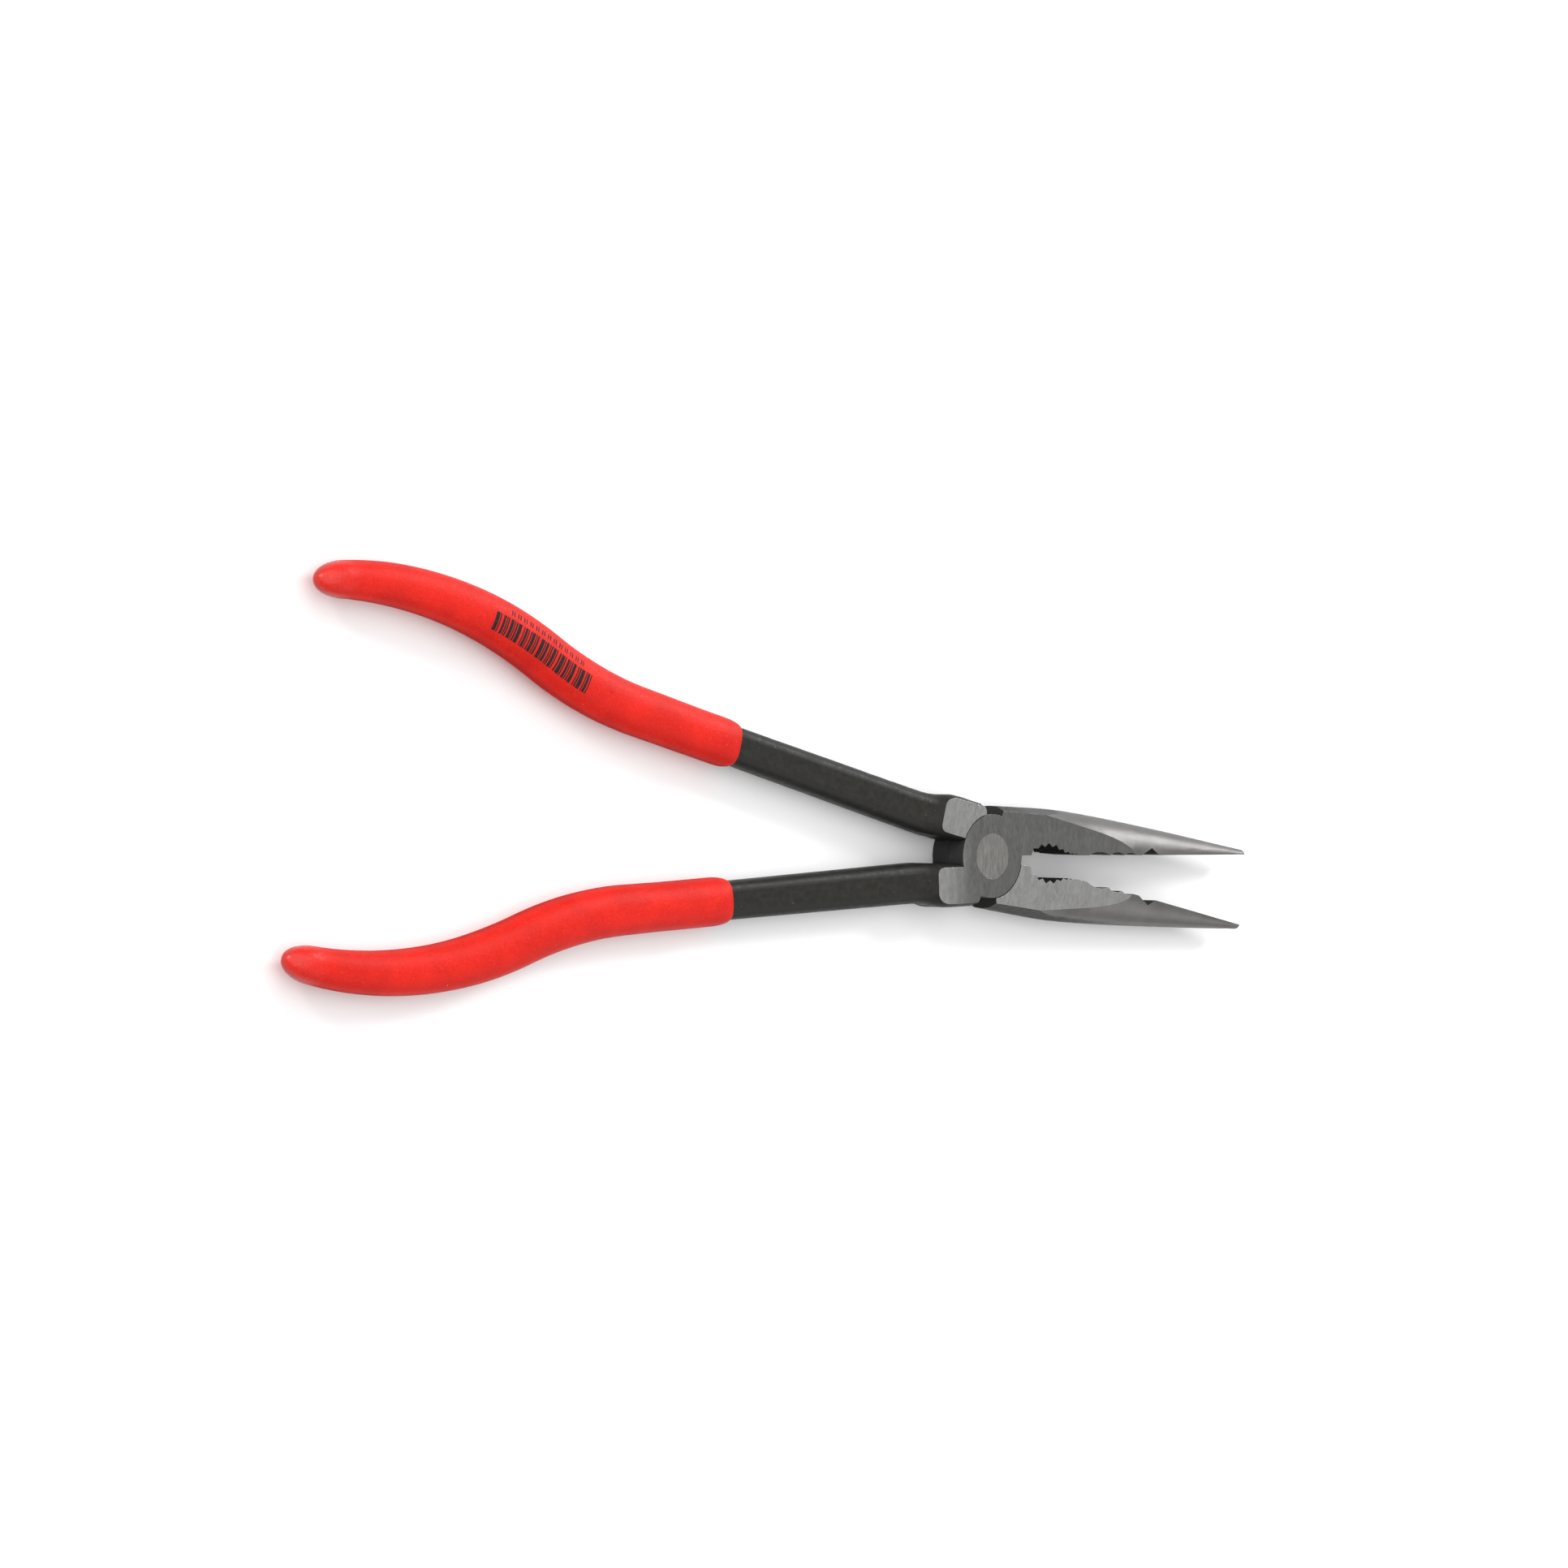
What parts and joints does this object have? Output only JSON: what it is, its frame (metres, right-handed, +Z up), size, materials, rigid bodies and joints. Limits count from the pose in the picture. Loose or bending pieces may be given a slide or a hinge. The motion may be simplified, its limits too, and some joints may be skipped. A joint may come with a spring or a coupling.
{
  "type": "needle-nose pliers",
  "caption": "Long-reach needle-nose pliers with a riveted lap joint, toothed pipe grip, tapered half-round jaws, slender dark shanks and long flared dipped plastic grips.",
  "frame": {"origin": "on the pivot axis, at the flat underside of the joint", "axes": "+X along the pliers towards the jaw tips, +Y to the side of the half whose jaw is uppermost, +Z up the pivot axis"},
  "size_m": [0.277, 0.0862, 0.0094],
  "materials": {
    "forged_steel": "dark oxide forging with ground joint faces and a satin nose",
    "rivet_steel": "ground flush with the joint",
    "red_dip": "soft satin dipped vinyl with a fine grain"
  },
  "bodies": {
    "upper_jaw_body": {"upper_jaw_half": "forged_steel", "pivot_rivet": "rivet_steel", "lower_handle_grip": "red_dip"},
    "lower_jaw_body": {"lower_jaw_half": "forged_steel", "upper_handle_grip": "red_dip"}
  },
  "joints": [
    {"name": "jaw_pivot", "type": "hinge", "parent": "upper_jaw_body", "child": "lower_jaw_body", "pos_m": [0, 0, 0.0047], "axis": [0, 0, -1], "range_deg": [-10.7, 28.4]}
  ]
}
